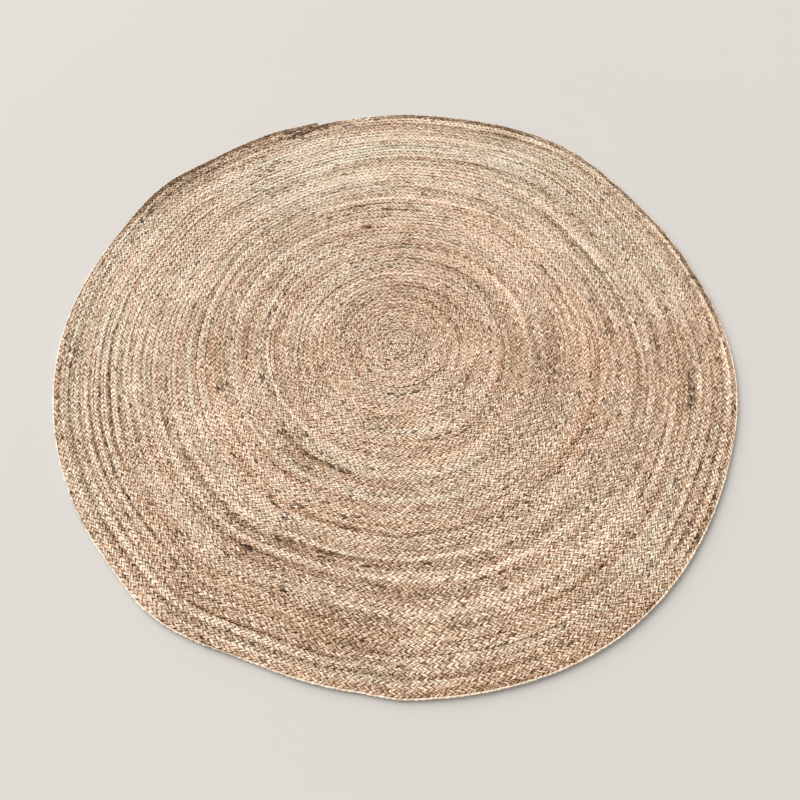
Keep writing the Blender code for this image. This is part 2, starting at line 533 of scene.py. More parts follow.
def top_points(plait, samples, rim):
    """The top of a stretch: along, across, height and darkness, which is painted shade, for each sample and
    row.

    Samples run along the plait, four to a grain, and rows across it. A row is moved along by the slope
    times its distance from the plait's middle, so that each column's grains slant, towards the middle
    and the coil's start. A grain's height over the gaps is the relief times GRAIN_RISE. The outer
    column lies half a pitch behind the inner one. On the middle row the gaps of one column end on
    those of the other, so it is moved to and fro by a sine wave.
    """
    sample = samples[:, None]
    row = np.arange(len(TOP_ROWS))[None, :]
    share, drop, cut, dark = (column[None, :].copy() for column in np.array(TOP_ROWS).T)
    if rim:
        share[0, -1], drop[0, -1], cut[0, -1], dark[0, -1] = RIM_GROOVE
    column = (row > TIP_ROW).astype(int)
    tip = row == TIP_ROW
    beat = sample + SAMPLES // COLUMNS * column
    grain, step = np.divmod(beat, SAMPLES)
    gap = ~tip & (step == 0)
    inside = ~tip & (step > 0)
    phase = np.where(tip, step / SAMPLES, np.array(GRAIN_PHASES)[step])
    rise = np.where(tip, 0.0, np.array(GRAIN_RISE)[step])

    off_middle = np.abs(share - 0.5) * PLAIT_WIDTH
    along = plait.reach(grain + phase - 0.5 * column) + GRAIN_SLOPE * (off_middle - PLAIT_WIDTH / 4.0)
    along = along + inside * plait.slide[grain, column] + gap * plait.slip[grain, column]
    across = share * PLAIT_WIDTH + inside * plait.shift[grain, column]
    across = across - tip * plait.interlock * np.sin(2.0 * math.pi * sample / SAMPLES)
    outward = 1.0 * (row == LAST_ROW) - (row == 0)
    across = across + outward * edge_swell(rise)

    seam = np.where(outward == 0.0, 1.0, plait.seams[grain, column])
    height = TOP_HEIGHT + plait.crown[grain] - drop * seam - plait.relief * cut * (1.0 - rise)
    height = height + inside * plait.lift[grain, column]
    # Painted shade: full in the gaps, the row's share on the crowns, and more in deeper seams
    usual, rate, most = SEAM_PAINTED_SHADE
    dark = dark + (1.0 - dark) * np.clip(rate * (seam - usual), 0.0, most)
    darkness = np.where(tip, dark, 1.0 - (1.0 - dark) * rise)
    return along, across, height, darkness


def rim_points(along, across, height, darkness):
    """The top's points with the rows of RIM_EDGE added outside them, which swell at every grain."""
    shape = (len(along), len(RIM_EDGE))
    gaps = darkness[:, -1:] > DARKEST_GRAIN
    beyond, edge_height = np.array(RIM_EDGE).T
    outside = across[:, -1:] + beyond + edge_swell(np.where(gaps, GRAIN_RISE[0], GRAIN_RISE[1]))
    # The edge strand gets painted shade where a gap meets the groove
    added = (along[:, -1:], outside, edge_height, RIM_GAP_PAINTED_SHADE * gaps)
    whole = (along, across, height, darkness)
    return [np.hstack([rows, np.broadcast_to(more, shape)]) for rows, more in zip(whole, added)]


class Surface:
    """One plait's closed surface over a stretch, as whole arrays: points, corners, finish, colours, layouts.

    The top is a grid of four-cornered faces. Under its edges stand two walls, fanned out from the feet
    to the top's samples, and the underside is flat. The strand layout is in metres, along and across a
    strand, and carries the fibres. The flat layout cuts the stretch into lanes that lie side by side in
    the plait's half of a square.
    """

    # In the flat layout: gaps beside lanes and at their ends, and the share of their width that the walls
    # and the underside get
    GAP = 0.0012
    END_GAP = 0.010
    HIDDEN_SHARE = 0.35
    UNDERSIDE_SHARE = 0.45
    # In the strand layout: how far on, along and across, each next grain is, and the outer column
    GRAIN_JUMPS = (0.0137, 0.0071)
    COLUMN_JUMP = 0.31
    # In both: how far past a stretch's end the section's points lie that close it, and its feet
    CAP_REACH = (0.0025, 0.0045)

    def __init__(self, plait, first, last, step, rim):
        self.plait = plait
        self.first = first
        self.last = last
        self.step = step
        self.samples = np.arange(SAMPLES * first, SAMPLES * last + 1)
        rows = top_points(plait, self.samples, rim)
        if rim:
            rows = rim_points(*rows)
        self.along, self.across, height, darkness = rows
        self.girth = self.section_girth(rim)
        self.breadth = self.girth[-1] + self.UNDERSIDE_SHARE * PLAIT_WIDTH + 2.0 * self.GAP
        length = plait.starts[last] - plait.starts[first]
        self.lanes = max(1, round(math.sqrt(length / (PLAITS * self.breadth))))
        self.lane_pitches = math.ceil((last - first) / self.lanes)

        feet = np.arange(0, len(self.samples), step)
        self.foot_along = self.along[feet][:, [0, -1]]
        foot_across = np.broadcast_to([FOOT_INSET, PLAIT_WIDTH - FOOT_INSET], self.foot_along.shape)
        along = np.concatenate([self.along.ravel(), self.foot_along.ravel()])
        across = np.concatenate([self.across.ravel(), foot_across.ravel()])
        floor = plait.place(along, across)
        height = np.concatenate([height.ravel(), np.zeros(self.foot_along.size)])
        wave = WAVE_HEIGHT * patches(floor, WAVE_SIZE, np.random.default_rng(WAVE_SEED))
        dip = TUCK_DIP * smooth(tuck(np.interp(along, plait.line_lengths, plait.line_turns)))
        self.points = np.column_stack([floor, height * (1.0 + wave / TOP_HEIGHT) * (1.0 - dip)])
        # The feet get full painted shade, so the walls are painted darker towards the floor
        self.darkness = np.concatenate([darkness.ravel(), np.ones(self.foot_along.size)])
        self.grid = np.arange(self.along.size).reshape(self.along.shape)
        self.foot = self.along.size + np.arange(self.foot_along.size).reshape(self.foot_along.shape)

        self.corners, self.sizes, self.finish = [], [], []
        self.looks, self.strand_map, self.flat_map = [], [], []
        self.add_top()
        self.add_walls()
        self.add_underside()
        self.add_ends()

    def section_girth(self, rim):
        """Distance round the section from its inner foot over the top to its outer one. Walls count less."""
        rows = [(FOOT_INSET, 0.0)]
        rows += [(share * PLAIT_WIDTH, TOP_HEIGHT - drop) for share, drop, _, _ in TOP_ROWS]
        if rim:
            rows += [(rows[-1][0] + outside, height) for outside, height in RIM_EDGE]
        rows.append((PLAIT_WIDTH - FOOT_INSET, 0.0))
        steps = np.linalg.norm(np.diff(np.array(rows), axis=0), axis=1)
        steps[0] *= self.HIDDEN_SHARE
        if not rim:
            steps[-1] *= self.HIDDEN_SHARE
        return np.append(0.0, np.cumsum(steps))

    def flat(self, pitch, along, around):
        """The flat layout's place of each corner, from its face's pitch, its length along and its girth."""
        starts = self.plait.starts
        lane = np.minimum((pitch - self.first) // self.lane_pitches, self.lanes - 1)
        lane_start = self.first + self.lane_pitches * np.arange(self.lanes)
        lane_end = np.minimum(lane_start + self.lane_pitches, self.last)
        wide = (starts[lane_end] - starts[lane_start]).max() + 2.0 * self.END_GAP
        u = (along - starts[lane_start][lane] + self.END_GAP) / wide
        v = (lane * self.breadth + self.GAP / 2.0 + around) / (self.lanes * self.breadth)
        return np.stack([u, (self.plait.lane + v) / PLAITS], axis=-1)

    def add(self, corners, finish, looks, strand, flat):
        """Adds faces of one kind. corners, strand and flat have a row for each face."""
        count, size = corners.shape
        self.corners.append(corners.reshape(-1))
        self.sizes.append(np.full(count, size))
        self.finish.append(np.full(count, finish))
        self.looks.append(np.broadcast_to(looks, (count, 3)))
        self.strand_map.append(strand.reshape(-1, 2))
        self.flat_map.append(flat.reshape(-1, 2))

    def add_top(self):
        """Four-cornered faces between neighbouring samples and rows, coloured grain by grain.

        A face's first corner is on its shorter diagonal, which depends on how its column leans.
        """
        plait = self.plait
        shape = (len(self.samples) - 1, self.along.shape[1] - 1)
        i, j = (index.ravel() for index in np.indices(shape))
        on_top = j < LAST_ROW
        column = (j >= TIP_ROW).astype(int)
        inner = (column == 0)[:, None]
        near = np.where(inner, np.stack([i, i + 1, i + 1, i], 1), np.stack([i + 1, i + 1, i, i], 1))
        side = np.where(inner, np.stack([j, j, j + 1, j + 1], 1), np.stack([j, j + 1, j + 1, j], 1))
        grain = (self.samples[i] + SAMPLES // COLUMNS * column) // SAMPLES
        looks = np.stack(
            [
                np.where(on_top, plait.tone[grain, column], plait.rim_tone_and_highlight[grain]),
                np.where(on_top, plait.warmth[grain, column], RIM_WARMTH),
                plait.fleck[grain, column] * on_top,
            ],
            axis=1,
        )

        lean = np.where(inner, -1.0, 1.0)
        middle = plait.reach(grain + 0.5 - 0.5 * column)[:, None]
        off_along = self.along[near, side] - middle
        off_across = self.across[near, side] - ((column + 0.5) * PLAIT_WIDTH / COLUMNS)[:, None]
        x = off_along * math.cos(GRAIN_ANGLE) + lean * off_across * math.sin(GRAIN_ANGLE)
        y = off_across * math.cos(GRAIN_ANGLE) - lean * off_along * math.sin(GRAIN_ANGLE)
        x = np.where(on_top[:, None], x, self.along[near, side])
        y = np.where(on_top[:, None], y, self.girth[side + 1])
        x = x + (self.GRAIN_JUMPS[0] * grain + self.COLUMN_JUMP * column)[:, None]
        y = y + self.GRAIN_JUMPS[1] * grain[:, None]
        pitch = (self.samples[i] // SAMPLES)[:, None]
        flat = self.flat(pitch, self.along[near, side], self.girth[side + 1])
        self.add(self.grid[near, side], 0, looks, np.stack([x, y], axis=-1), flat)

    def wall(self, row, edge):
        """Fans between a row of the grid and the feet under it, at the inner (0) or outer (-1) edge."""
        fine, foot = self.grid[:, row], self.foot[:, edge]
        m = np.arange(len(foot) - 1)
        half = (self.step + 1) // 2
        fans = []
        for k in range(self.step):
            base = foot[m] if k < half else foot[m + 1]
            fans.append((fine[self.step * m + k + 1], fine[self.step * m + k], base))
        fans.append((foot[m], foot[m + 1], fine[self.step * m + half]))
        corners = np.stack([np.stack(fan, axis=1) for fan in fans], axis=1).reshape(-1, 3)
        if edge == -1:
            corners = corners[:, ::-1]
        lengths = np.append(self.along.ravel(), self.foot_along.ravel())
        top_girth = self.girth[1] if edge == 0 else self.girth[-2]
        rounds = np.where(corners < self.along.size, top_girth, self.girth[edge])
        pitch = self.first + np.repeat(m * self.step // SAMPLES, self.step + 1)
        strand = np.stack([lengths[corners], rounds], axis=-1)
        flat = self.flat(pitch[:, None], lengths[corners], rounds)
        self.add(corners, 0, (TONE_MIDDLE, 0.0, 0.0), strand, flat)

    def add_walls(self):
        """The wall at the inner edge and the one at the outer edge."""
        self.wall(0, 0)
        self.wall(-1, -1)

    def add_underside(self):
        """Four-cornered faces between the feet, flat on the floor."""
        m = np.arange(len(self.foot) - 1)
        near = np.stack([m, m + 1, m + 1, m], axis=1)
        side = np.array([[1, 1, 0, 0]])
        lengths = self.foot_along[near, side]
        over = np.broadcast_to(np.where(side == 1, PLAIT_WIDTH - FOOT_INSET, FOOT_INSET), lengths.shape)
        strand = np.stack([lengths, over], axis=-1)
        around = self.girth[-1] + self.GAP + self.UNDERSIDE_SHARE * (PLAIT_WIDTH - over)
        flat = self.flat((self.first + m * self.step // SAMPLES)[:, None], lengths, around)
        self.add(self.foot[near, side], 1, (TONE_MIDDLE, 0.0, 0.0), strand, flat)

    def add_ends(self):
        """Triangles that close both ends, from each foot to the half of the section above it."""
        half = self.grid.shape[1] // 2
        for end, pitch, way in ((0, self.first, -1.0), (-1, self.last - 1, 1.0)):
            ring, foot = self.grid[end], self.foot[end]
            j = np.arange(len(ring) - 1)
            base = np.where(j < half, foot[0], foot[1])
            corners = np.stack([base, ring[j], ring[j + 1]], axis=1)
            corners = np.concatenate([corners, [[foot[0], ring[half], foot[1]]]])
            rounds = np.zeros(len(self.points))
            rounds[ring], rounds[foot] = self.girth[1:-1], self.girth[[0, -1]]
            lengths = self.along[end].mean() + way * np.where(np.isin(corners, foot), *self.CAP_REACH[::-1])
            if way > 0:
                corners, lengths = corners[:, ::-1], lengths[:, ::-1]
            strand = np.stack([lengths, rounds[corners]], axis=-1)
            flat = self.flat(np.full((len(corners), 1), pitch), lengths, rounds[corners])
            self.add(corners, 0, (TONE_MIDDLE, 0.0, 0.0), strand, flat)


FLAT_LAYOUT = "OFBake"
# Faces that meet at more than this angle meet at a sharp edge, as in the gaps
GAP_ANGLE_DEG = 55.0


def place_object(name, data):
    """A new object in the scene, at the origin."""
    made = bpy.data.objects.new(name, data)
    bpy.context.scene.collection.objects.link(made)
    return made


def braid_object(name, plaits, start_turn, end_turn, finishes, step=SAMPLES, rim=False):
    """One stretch of the band, both plaits, as an object laid on the solid and riding on the rug's body."""
    spans = [(plait, plait.turn_pitch(start_turn), plait.turn_pitch(end_turn)) for plait in plaits]
    sides = [Surface(plait, first, last, step, rim and plait is plaits[-1]) for plait, first, last in spans]
    inner, outer = (np.concatenate(side.corners) for side in sides)
    corners = np.concatenate([inner, outer + len(sides[0].points)])
    points = np.concatenate([side.points for side in sides])
    darkness = np.concatenate([side.darkness for side in sides])
    sizes, finish, looks, strand_map, flat_map = (
        np.concatenate([part for side in sides for part in getattr(side, title)])
        for title in ("sizes", "finish", "looks", "strand_map", "flat_map")
    )

    mesh = bpy.data.meshes.new(name)
    mesh.vertices.add(len(points))
    mesh.vertices.foreach_set("co", points.astype(np.float32).ravel())
    mesh.loops.add(len(corners))
    mesh.loops.foreach_set("vertex_index", corners.astype(np.int32))
    mesh.polygons.add(len(sizes))
    mesh.polygons.foreach_set("loop_start", np.append(0, np.cumsum(sizes)[:-1]).astype(np.int32))
    mesh.polygons.foreach_set("material_index", finish.astype(np.int32))
    mesh.update(calc_edges=True)
    for title, places in (("strand", strand_map), (FLAT_LAYOUT, flat_map)):
        layer = mesh.uv_layers.new(name=title, do_init=False)
        layer.uv.foreach_set("vector", places.astype(np.float32).ravel())
    # Painted shade at each point: in the gaps, the seams and down the walls
    hollow = mesh.attributes.new("hollow", "FLOAT", "POINT")
    hollow.data.foreach_set("value", darkness.astype(np.float32))
    for k, title in enumerate(("tone", "warmth", "fleck")):
        layer = mesh.attributes.new(title, "FLOAT", "FACE")
        layer.data.foreach_set("value", looks[:, k].astype(np.float32))
    mesh.shade_smooth()
    mesh.set_sharp_from_angle(angle=math.radians(GAP_ANGLE_DEG))
    for finish in finishes:
        mesh.materials.append(finish)

    stretch = place_object(name, mesh)
    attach(stretch, BODY)
    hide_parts(SOLID)
    return stretch


# Finishes


def feed(tree, socket, operand):
    """Links an output to the socket, or sets the socket to a value."""
    if isinstance(operand, bpy.types.NodeSocket):
        tree.links.new(operand, socket)
    else:
        socket.default_value = operand


def mathematics(tree, operation, first, second=0.5, clamp=False):
    """A Math node. Each operand is an output or a number."""
    made = tree.nodes.new("ShaderNodeMath")
    made.operation = operation
    made.use_clamp = clamp
    feed(tree, made.inputs[0], first)
    feed(tree, made.inputs[1], second)
    return made.outputs[0]


def blended(tree, share, first, second, blend="MIX"):
    """A Mix node for colours. share, first and second are outputs or values."""
    made = tree.nodes.new("ShaderNodeMix")
    made.data_type = "RGBA"
    made.blend_type = blend
    for name, operand in (("Factor", share), ("A", first), ("B", second)):
        feed(tree, next(s for s in made.inputs if s.name == name and s.enabled), operand)
    return next(s for s in made.outputs if s.name == "Result" and s.enabled)


def tinted(tree, colour, share, tint):
    """The colour times the tint, as far as the share says."""
    return blended(tree, 1.0, colour, blended(tree, share, (1.0, 1.0, 1.0, 1.0), tint), "MULTIPLY")


def ranged(tree, value, low, high, to_low=0.0, to_high=1.0):
    """A Map Range node: a clipped straight line."""
    made = tree.nodes.new("ShaderNodeMapRange")
    tree.links.new(value, made.inputs["Value"])
    ends = (("From Min", low), ("From Max", high), ("To Min", to_low), ("To Max", to_high))
    for name, end in ends:
        made.inputs[name].default_value = end
    return made.outputs["Result"]


def group_tree(name, inputs, outputs):
    """A new node group with these sockets, and its input and output nodes."""
    tree = bpy.data.node_groups.new(name, "ShaderNodeTree")
    for title, kind, value in inputs:
        socket = tree.interface.new_socket(title, in_out="INPUT", socket_type=kind)
        if value is not None:
            socket.default_value = value
    for title, kind in outputs:
        tree.interface.new_socket(title, in_out="OUTPUT", socket_type=kind)
    return tree, tree.nodes.new("NodeGroupInput"), tree.nodes.new("NodeGroupOutput")


FLOAT, COLOUR, VECTOR = "NodeSocketFloat", "NodeSocketColor", "NodeSocketVector"

# Drawn-out noise in a strand: how many in a metre along and across it, detail
FIBRES = (140.0, 2600.0, 3.0)
PLIES = (70.0, 800.0, 1.0)
SPOTS = (320.0, 560.0, 1.0)
# The range of the noise that is spread from 0 to 1
NOISE_SPAN = (0.3, 0.7)
# How high a fibre is for the bump, where a ply is 1 high
FIBRE_HEIGHT = 0.4


def fibre_group():
    """Drawn-out noise along a strand: fine fibres, the coarser plies that they lie in, and short spots."""
    tree, given, out = group_tree(
        "jute_fibres",
        [("Place", VECTOR, None)],
        [("Fibre", FLOAT), ("Ply", FLOAT), ("Spot", FLOAT), ("Height", FLOAT)],
    )
    values = []
    for along, across, detail in (FIBRES, PLIES, SPOTS):
        stretched = tree.nodes.new("ShaderNodeMapping")
        stretched.inputs["Scale"].default_value = (along, across, 1.0)
        tree.links.new(given.outputs["Place"], stretched.inputs["Vector"])
        noise = tree.nodes.new("ShaderNodeTexNoise")
        noise.noise_dimensions = "2D"
        noise.inputs["Scale"].default_value = 1.0
        noise.inputs["Detail"].default_value = detail
        tree.links.new(stretched.outputs["Vector"], noise.inputs["Vector"])
        values.append(ranged(tree, noise.outputs["Fac"], *NOISE_SPAN))
    height = mathematics(tree, "ADD", mathematics(tree, "MULTIPLY", values[0], FIBRE_HEIGHT), values[1])
    for title, value in zip(("Fibre", "Ply", "Spot", "Height"), (*values, height)):
        tree.links.new(value, out.inputs[title])
    return tree


# How much plies and spots change the tone, and what low fibres and high ones multiply the colour by
PLY_TONE = 0.58
SPOT_TONE = 0.72
FIBRE_LIGHT = (0.82, 1.14)
# A fleck sets in over this range of the spots
FLECK_SPAN = (0.2, 0.45)
# Painted shade in the gaps, which stands in for light bouncing from strand to strand: their colour gets
# deeper, and not only darker
GAP_SPAN = (0.15, 0.85)
GAP_BOUNCES = 1.0
# Of low fibres, of high ones
ROUGHNESS = (0.95, 0.78)
COLOUR_NAMES = ("Cream", "Tan", "Brown", "Warm", "Cool", "Moss", "Soot", "Gap")


def tint_group():
    """Jute's colour: brown to tan to cream by tone, reddish or greyish by warmth, dark in flecks, with
    painted shade in the gaps.

    For the painted shade in the gaps the colour is raised to a power, once for each bounce of the light, and
    then tinted.
    """
    floats = (("Tone", 0.5), ("Warmth", 0.0), ("Fleck", 0.0), ("Hollow", 0.0))
    noises = (("Fibre", 0.5), ("Ply", 0.5), ("Spot", 0.5))
    tree, given, out = group_tree(
        "jute_tint",
        [(title, FLOAT, value) for title, value in floats + noises]
        + [(title, COLOUR, None) for title in COLOUR_NAMES],
        [("Color", COLOUR), ("Roughness", FLOAT)],
    )
    i = given.outputs
    tone = i["Tone"]
    for title, strength in (("Ply", PLY_TONE), ("Spot", SPOT_TONE)):
        stray = mathematics(tree, "MULTIPLY", mathematics(tree, "SUBTRACT", i[title], 0.5), strength)
        tone = mathematics(tree, "ADD", tone, stray)
    colour = blended(tree, ranged(tree, tone, 0.0, 0.5), i["Brown"], i["Tan"])
    colour = blended(tree, ranged(tree, tone, 0.5, 1.0), colour, i["Cream"])
    colour = tinted(tree, colour, ranged(tree, i["Warmth"], 0.0, 1.0), i["Warm"])
    colour = tinted(tree, colour, ranged(tree, i["Warmth"], 0.0, -1.0), i["Cool"])
    spot = ranged(tree, i["Spot"], *FLECK_SPAN)
    soot = mathematics(tree, "MULTIPLY", i["Fleck"], spot, clamp=True)
    moss = mathematics(tree, "MULTIPLY", i["Fleck"], -1.0, clamp=True)
    colour = blended(tree, moss, colour, i["Moss"])
    colour = blended(tree, soot, colour, i["Soot"])
    light = blended(tree, i["Fibre"], *((share, share, share, 1.0) for share in FIBRE_LIGHT))
    colour = blended(tree, 1.0, colour, light, "MULTIPLY")
    # Painted shade in the gaps and seams: a deeper colour, then the gap tint
    deep = tree.nodes.new("ShaderNodeGamma")
    tree.links.new(colour, deep.inputs["Color"])
    tree.links.new(ranged(tree, i["Hollow"], *GAP_SPAN, 1.0, 1.0 + GAP_BOUNCES), deep.inputs["Gamma"])
    colour = tinted(tree, deep.outputs["Color"], ranged(tree, i["Hollow"], *GAP_SPAN), i["Gap"])
    tree.links.new(colour, out.inputs["Color"])
    tree.links.new(ranged(tree, i["Fibre"], 0.0, 1.0, *ROUGHNESS), out.inputs["Roughness"])
    return tree


def attribute(tree, title):
    """The value of one of the mesh's attributes."""
    made = tree.nodes.new("ShaderNodeAttribute")
    made.attribute_name = title
    return made.outputs["Fac"]


BUMP_STRENGTH = 0.7
BUMP_DISTANCE = 0.0003
# A grain's height on the underside, as a number of plies
UNDERSIDE_RELIEF = 3.0
# What is the same all over the jute, on the shader's own sockets
PLAIN_FINISH = (
    ("Metallic", 0.0),
    ("Sheen Weight", 0.05),
    ("Sheen Roughness", 0.5),
    ("Specular IOR Level", 0.15),
)


def jute_shader(material, colours, tone, warmth, fleck, hollow, place, relief):
    """Wires the two groups to the material's own shader: colour, roughness and a fine bump."""
    tree = material.node_tree
    shader = tree.nodes["Principled BSDF"]
    fibres = tree.nodes.new("ShaderNodeGroup")
    fibres.node_tree = bpy.data.node_groups.get("jute_fibres") or fibre_group()
    tree.links.new(place, fibres.inputs["Place"])
    tint = tree.nodes.new("ShaderNodeGroup")
    tint.node_tree = bpy.data.node_groups.get("jute_tint") or tint_group()
    given = (("Tone", tone), ("Warmth", warmth), ("Fleck", fleck), ("Hollow", hollow))
    for title, value in given:
        tree.links.new(value, tint.inputs[title])
    for title in ("Fibre", "Ply", "Spot"):
        tree.links.new(fibres.outputs[title], tint.inputs[title])
    for title in COLOUR_NAMES:
        tint.inputs[title].default_value = (*getattr(colours, title.lower()), 1.0)
    tree.links.new(tint.outputs["Color"], shader.inputs["Base Color"])
    tree.links.new(tint.outputs["Roughness"], shader.inputs["Roughness"])
    bump = tree.nodes.new("ShaderNodeBump")
    bump.inputs["Strength"].default_value = BUMP_STRENGTH
    bump.inputs["Distance"].default_value = BUMP_DISTANCE
    height = fibres.outputs["Height"]
    if relief is not None:
        height = mathematics(tree, "ADD", mathematics(tree, "MULTIPLY", relief, UNDERSIDE_RELIEF), height)
    tree.links.new(height, bump.inputs["Height"])
    tree.links.new(bump.outputs["Normal"], shader.inputs["Normal"])
    for title, value in PLAIN_FINISH:
        shader.inputs[title].default_value = value


def layout(tree, title):
    """The piece's own layout of that name."""
    made = tree.nodes.new("ShaderNodeUVMap")
    made.uv_map = title
    return made.outputs["UV"]


def new_material(name):
    """A new material with nodes, and its tree."""
    material = bpy.data.materials.new(name)
    material.use_nodes = True
    return material, material.node_tree


def face_material(colours):
    """The braid's top and edges: every grain has its own tone, warmth and flecks, and its points carry the
    painted shade of gaps and seams.
    """
    material, tree = new_material("jute_face")
    looks = [attribute(tree, title) for title in ("tone", "warmth", "fleck", "hollow")]
    jute_shader(material, colours, *looks, layout(tree, "strand"), None)
    return material


# On the underside: how far from a gap its painted shade sets in, and the ends of the draws for each grain
UNDERSIDE_GAPS = (0.25, 0.5)
UNDERSIDE_TONES = (0.25, 0.8)
UNDERSIDE_WARMTHS = (0.4, -0.4)
UNDERSIDE_FLECKS = (0.985, 0.995)


def underside_material(colours, pitch):
    """The flat underside: the same two columns of slanting grains, drawn from the lengths along and across.

    The slope times the distance from the plait's middle moves the grains along, and what is left after
    whole pitches tells the distance from a gap.
    """
    material, tree = new_material("jute_underside")
    place = layout(tree, "strand")
    parts = tree.nodes.new("ShaderNodeSeparateXYZ")
    tree.links.new(place, parts.inputs[0])
    along, across = parts.outputs["X"], parts.outputs["Y"]
    off = mathematics(tree, "SUBTRACT", across, PLAIT_WIDTH / 2.0)
    column = mathematics(tree, "GREATER_THAN", off, 0.0)
    slant = mathematics(tree, "MULTIPLY", mathematics(tree, "ABSOLUTE", off), GRAIN_SLOPE)
    beats = mathematics(tree, "DIVIDE", mathematics(tree, "SUBTRACT", along, slant), pitch)
    beats = mathematics(tree, "ADD", beats, mathematics(tree, "MULTIPLY", column, 0.5))
    grain = mathematics(tree, "FLOOR", beats)
    aside = mathematics(tree, "SUBTRACT", mathematics(tree, "FRACT", beats), 0.5)
    aside = mathematics(tree, "ABSOLUTE", aside)
    # Painted shade in the drawn gaps; one less it is also the bump's relief
    hollow = ranged(tree, aside, *UNDERSIDE_GAPS)
    label = tree.nodes.new("ShaderNodeCombineXYZ")
    tree.links.new(grain, label.inputs[0])
    tree.links.new(column, label.inputs[1])
    draw = tree.nodes.new("ShaderNodeTexWhiteNoise")
    draw.noise_dimensions = "2D"
    tree.links.new(label.outputs[0], draw.inputs["Vector"])
    tone = ranged(tree, draw.outputs["Value"], 0.0, 1.0, *UNDERSIDE_TONES)
    warmth = ranged(tree, draw.outputs["Value"], 0.0, 1.0, *UNDERSIDE_WARMTHS)
    fleck = ranged(tree, draw.outputs["Value"], *UNDERSIDE_FLECKS)
    relief = mathematics(tree, "SUBTRACT", 1.0, hollow)
    jute_shader(material, colours, tone, warmth, fleck, hollow, place, relief)
    return material


MOTTLES_IN_A_METRE = 1.5
MOTTLE_SHADE = 0.97
FLOOR_ROUGHNESS = 0.8


def floor_material(settings):
    """Plain pale floor with a faint, large mottling."""
    material, tree = new_material("pale_floor")
    shader = tree.nodes["Principled BSDF"]
    place = tree.nodes.new("ShaderNodeTexCoord")
    noise = tree.nodes.new("ShaderNodeTexNoise")
    noise.inputs["Scale"].default_value = MOTTLES_IN_A_METRE
    tree.links.new(place.outputs["Object"], noise.inputs["Vector"])
    pale = (*settings.floor_color, 1.0)
    shade = tuple(MOTTLE_SHADE * part for part in settings.floor_color) + (1.0,)
    tree.links.new(blended(tree, noise.outputs["Fac"], pale, shade), shader.inputs["Base Color"])
    shader.inputs["Roughness"].default_value = FLOOR_ROUGHNESS
    return material


# Settings


def colour_property(name, description, default):
    """A colour that a user can change."""
    return bpy.props.FloatVectorProperty(
        name=name, description=description, default=default, size=3, min=0.0, max=2.0, subtype="COLOR"
    )


def length_property(name, description, default, least=0.0, most=10.0):
    """A length that a user can change."""
    return bpy.props.FloatProperty(
        name=name, description=description, default=default, min=least, max=most, unit="LENGTH"
    )


def angle_property(name, description, degrees):
    """An angle that a user can change."""
    return bpy.props.FloatProperty(
        name=name, description=description, default=math.radians(degrees), subtype="ANGLE"
    )


def amount_property(name, description, default):
    """A number from 0 up that a user can change."""
    return bpy.props.FloatProperty(name=name, description=description, default=default, min=0.0)


class JuteBraidSettings(bpy.types.PropertyGroup):
    """Sizes of the plaits' grains."""

    grain_pitch: length_property(
        "Grain pitch", "Length of plait from one grain to the next in its column", 0.0084, 0.004, 0.02
    )
    relief: length_property("Relief", "Height of a grain over the gaps beside it", 0.0010, most=0.002)
    interlock: length_property(
        "Interlock", "How far a grain's tip reaches past the middle of the plait", 0.0007, most=0.0012
    )
    seed: bpy.props.IntProperty(
        name="Seed", description="Which draw of uneven grains and colours is used", default=11, min=0
    )


class JuteColourSettings(bpy.types.PropertyGroup):
    """Colours of the jute."""

    cream: colour_property("Cream", "Palest, bleached strands", (0.98, 0.84, 0.69))
    tan: colour_property("Tan", "Plain jute", (0.595, 0.426, 0.292))
    brown: colour_property("Brown", "Darkest strands", (0.18, 0.10, 0.046))
    warm: colour_property("Warm", "What reddish strands keep of their colour", (1.05, 0.962, 0.92))
    cool: colour_property("Cool", "What greyish strands keep of their colour", (0.92, 1.01, 1.04))
    moss: colour_property("Moss", "Greyish green strands", (0.36, 0.30, 0.21))
    soot: colour_property("Soot", "Near-black flecks of bark", (0.045, 0.028, 0.017))
    # Gap: the tint of the painted shade in the gaps between grains
    gap: colour_property("Gap", "What the gaps between grains keep of the colour", (0.30, 0.22, 0.18))


class StageSettings(bpy.types.PropertyGroup):
    """Floor, light and camera."""

    floor_color: colour_property("Floor", "Colour of the pale floor", (0.52, 0.507, 0.487))
    lamp_strength: amount_property("Lamp", "Strength of the large lamp at the back left", 4.75)
    sky_strength: amount_property("Sky", "Strength of the even light from all round", 0.65)
    elevation: angle_property("Elevation", "Camera's angle over the floor", 60.65)
    distance: length_property("Distance", "From the camera to the spot on the floor that it looks at", 1.38)
    roll: angle_property("Roll", "Turn of the camera about its own view", 2.65)
    lens: amount_property("Lens", "Focal length in millimetres, for a 36 mm sensor", 35.72)


def both_plaits(scene):
    """The inner plait of the band and the outer one."""
    return [Plait(scene.jute_braid, lane) for lane in range(PLAITS)]


def rug_finishes(scene):
    """The finishes of the top and of the underside, made once."""
    face = bpy.data.materials.get("jute_face") or face_material(scene.jute_colours)
    under = bpy.data.materials.get("jute_underside")
    return face, under or underside_material(scene.jute_colours, scene.jute_braid.grain_pitch)


class RUG_OT_coil(bpy.types.Operator):
    """Make the coiled band up to its last turn: a short stretch at the middle, then five like ones"""

    bl_idname = "rug.coil"
    bl_label = "Coiled Braid"

    def execute(self, context):
        plaits = both_plaits(context.scene)
        finishes = rug_finishes(context.scene)
        braid_object("braid_start", plaits, START_TURN, START_TURNS, finishes, step=1)
        cuts = np.sqrt(np.linspace(START_TURNS**2, (LAST_TURN - 1.0) ** 2, STRETCHES + 1))
        for k in range(STRETCHES):
            braid_object(f"braid_stretch_{k + 1}", plaits, cuts[k], cuts[k + 1], finishes)
        return {"FINISHED"}


